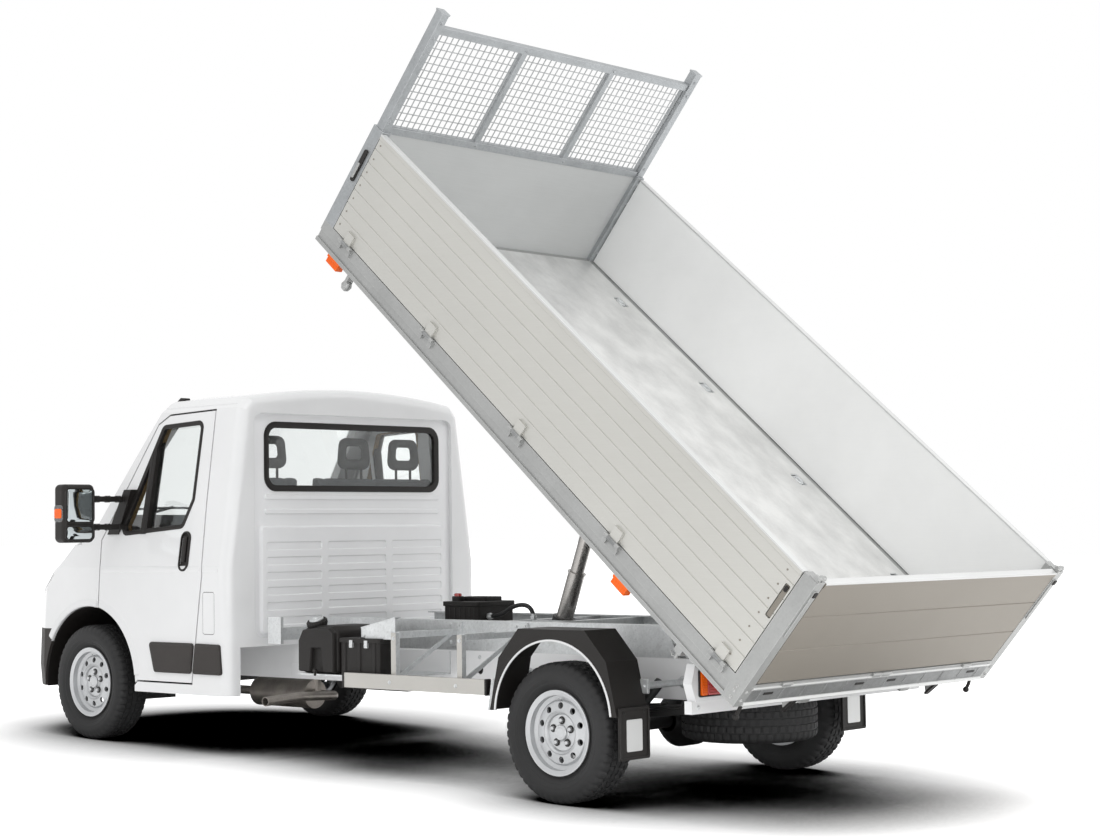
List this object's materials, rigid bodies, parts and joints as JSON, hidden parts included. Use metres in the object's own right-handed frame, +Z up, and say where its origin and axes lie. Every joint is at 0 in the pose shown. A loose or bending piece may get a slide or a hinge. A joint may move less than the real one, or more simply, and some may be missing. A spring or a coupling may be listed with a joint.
{
  "type": "three-way dump truck",
  "caption": "Light single-cab dump truck with a raised dropside bed on a telescopic ram, hinged doors, bonnet, dropsides and tailgate, steered front wheels.",
  "frame": {"origin": "on the ground, under the middle of the whole part's box", "axes": "+X to the truck's left, +Y to its rear, +Z up"},
  "size_m": [2.84, 6.3241, 3.9677],
  "materials": {
    "white_paint": "gloss",
    "dark_plastic": "grained",
    "glass": "clear",
    "lamp_lens": "clear",
    "red_lens": "ribbed",
    "amber_lens": "ribbed",
    "seat_cloth": "woven",
    "cast": "rough",
    "galvanised": "spangled",
    "black_steel": "satin",
    "aluminium": "anodised",
    "bright_chrome": "polished",
    "wheel_silver": "satin",
    "tyre_rubber": "matt",
    "hose_rubber": "matt",
    "bare_steel": "dull"
  },
  "bodies": {
    "chassis": {"cab_shell": "white_paint", "cab_back_panel": "white_paint", "wheel_arch_liners": "dark_plastic", "front_wings": "white_paint", "grille": "dark_plastic", "front_bumper": "dark_plastic", "headlamps": "lamp_lens", "cab_glass": "glass", "seats": "seat_cloth", "dashboard": "dark_plastic", "engine_block": "cast", "fuel_tank": "dark_plastic", "frame_rails": "white_paint", "frame_crossmembers": "white_paint", "subframe_rails": "galvanised", "subframe_crossmembers": "galvanised", "frame_brackets": "galvanised", "front_axle_carrier": "black_steel", "rear_axle": "black_steel", "leaf_springs": "black_steel", "spare_wheel": "tyre_rubber", "mudguards": "dark_plastic", "side_guards": "aluminium", "oil_tank": "dark_plastic", "battery_box": "dark_plastic", "exhaust": "bare_steel", "power_unit": "dark_plastic", "hydraulic_hose": "hose_rubber", "rear_crossbar": "aluminium", "tail_lamps": "red_lens"},
    "door_left": {"door_left": "white_paint", "door_glass_left": "glass", "mirror_left": "dark_plastic"},
    "door_right": {"door_right": "white_paint", "door_glass_right": "glass", "mirror_right": "dark_plastic"},
    "bonnet": {"bonnet": "white_paint"},
    "knuckle_left": {"knuckle_left": "black_steel"},
    "knuckle_right": {"knuckle_right": "black_steel"},
    "wheel_front_left": {"rim_front_left": "wheel_silver", "tyre_front_left": "tyre_rubber"},
    "wheel_front_right": {"rim_front_right": "wheel_silver", "tyre_front_right": "tyre_rubber"},
    "wheel_rear_left": {"rim_rear_left": "wheel_silver", "tyre_rear_left": "tyre_rubber"},
    "wheel_rear_right": {"rim_rear_right": "wheel_silver", "tyre_rear_right": "tyre_rubber"},
    "bed": {"bed_frame": "galvanised", "bed_floor": "aluminium", "headboard_frame": "galvanised", "headboard_panel": "aluminium", "marker_lamps": "amber_lens"},
    "dropside_left": {"dropside_left": "aluminium"},
    "dropside_right": {"dropside_right": "aluminium"},
    "tailgate": {"tailgate": "aluminium"},
    "ram_barrel": {"ram_barrel": "black_steel"},
    "ram_stage_1": {"ram_stage_1": "bright_chrome"},
    "ram_stage_2": {"ram_stage_2": "bright_chrome"},
    "ram_stage_3": {"ram_stage_3": "bright_chrome"},
    "ram_rod": {"ram_rod": "bright_chrome"}
  },
  "joints": [
    {"name": "bed_tip", "type": "hinge", "parent": "chassis", "child": "bed", "pos_m": [0, 2.20756, 0.85615], "axis": [-1, 0, 0], "range_deg": [-40.67, 4.33]},
    {"name": "dropside_left_drop", "type": "hinge", "parent": "bed", "child": "dropside_left", "pos_m": [1.074, 1.22116, 1.91296], "axis": [0, 0.776, -0.6307], "range_deg": [0, 180]},
    {"name": "dropside_right_drop", "type": "hinge", "parent": "bed", "child": "dropside_right", "pos_m": [-1.074, 1.22116, 1.91296], "axis": [0, -0.776, 0.6307], "range_deg": [0, 180]},
    {"name": "tailgate_swing", "type": "hinge", "parent": "bed", "child": "tailgate", "pos_m": [0, 3.13544, 1.102], "axis": [1, 0, 0], "range_deg": [0, 90]},
    {"name": "door_left_open", "type": "hinge", "parent": "chassis", "child": "door_left", "pos_m": [0.98, -2.0701, 1.00413], "axis": [0.0349, 0.0274, -0.999], "range_deg": [0, 68]},
    {"name": "door_right_open", "type": "hinge", "parent": "chassis", "child": "door_right", "pos_m": [-0.98, -2.0701, 1.00413], "axis": [0.0349, -0.0274, 0.999], "range_deg": [0, 68]},
    {"name": "bonnet_open", "type": "hinge", "parent": "chassis", "child": "bonnet", "pos_m": [0, -2.45066, 1.2388], "axis": [-1, 0, 0], "range_deg": [0, 55]},
    {"name": "steer_left", "type": "hinge", "parent": "chassis", "child": "knuckle_left", "pos_m": [0.755, -2.212, 0.341], "axis": [0, -0.0274, 0.9996], "range_deg": [-35, 35]},
    {"name": "steer_right", "type": "hinge", "parent": "chassis", "child": "knuckle_right", "pos_m": [-0.755, -2.212, 0.341], "axis": [0, -0.0274, 0.9996], "range_deg": [-35, 35]},
    {"name": "wheel_front_left_spin", "type": "hinge", "parent": "knuckle_left", "child": "wheel_front_left", "pos_m": [0.905, -2.212, 0.341], "axis": [1, 0, 0], "continuous": true},
    {"name": "wheel_front_right_spin", "type": "hinge", "parent": "knuckle_right", "child": "wheel_front_right", "pos_m": [-0.905, -2.212, 0.341], "axis": [1, 0, 0], "continuous": true},
    {"name": "wheel_rear_left_spin", "type": "hinge", "parent": "chassis", "child": "wheel_rear_left", "pos_m": [0.895, 1.588, 0.341], "axis": [1, 0, 0], "continuous": true},
    {"name": "wheel_rear_right_spin", "type": "hinge", "parent": "chassis", "child": "wheel_rear_right", "pos_m": [-0.895, 1.588, 0.341], "axis": [1, 0, 0], "continuous": true},
    {"name": "ram_lean", "type": "hinge", "parent": "chassis", "child": "ram_barrel", "pos_m": [0, 0.72907, 0.78066], "axis": [-1, 0, 0], "range_deg": [-20.5, 2.3]},
    {"name": "ram_stage_1_slide", "type": "slide", "parent": "ram_barrel", "child": "ram_stage_1", "axis": [0, 0.3356, 0.942], "range_m": [-0.2573, 0.03]},
    {"name": "ram_stage_2_slide", "type": "slide", "parent": "ram_stage_1", "child": "ram_stage_2", "axis": [0, 0.3356, 0.942], "range_m": [-0.2573, 0.03]},
    {"name": "ram_stage_3_slide", "type": "slide", "parent": "ram_stage_2", "child": "ram_stage_3", "axis": [0, 0.3356, 0.942], "range_m": [-0.2573, 0.03]},
    {"name": "ram_rod_slide", "type": "slide", "parent": "ram_stage_3", "child": "ram_rod", "axis": [0, 0.3356, 0.942], "range_m": [-0.2573, 0.03]}
  ],
  "couplings": [
    {"joint": "steer_right", "follows": "steer_left", "ratio": 1},
    {"joint": "ram_lean", "follows": "bed_tip", "ratio": 0.5},
    {"joint": "ram_stage_1_slide", "follows": "bed_tip", "m_per_rad": 0.35962},
    {"joint": "ram_stage_2_slide", "follows": "bed_tip", "m_per_rad": 0.35962},
    {"joint": "ram_stage_3_slide", "follows": "bed_tip", "m_per_rad": 0.35962},
    {"joint": "ram_rod_slide", "follows": "bed_tip", "m_per_rad": 0.35962}
  ]
}
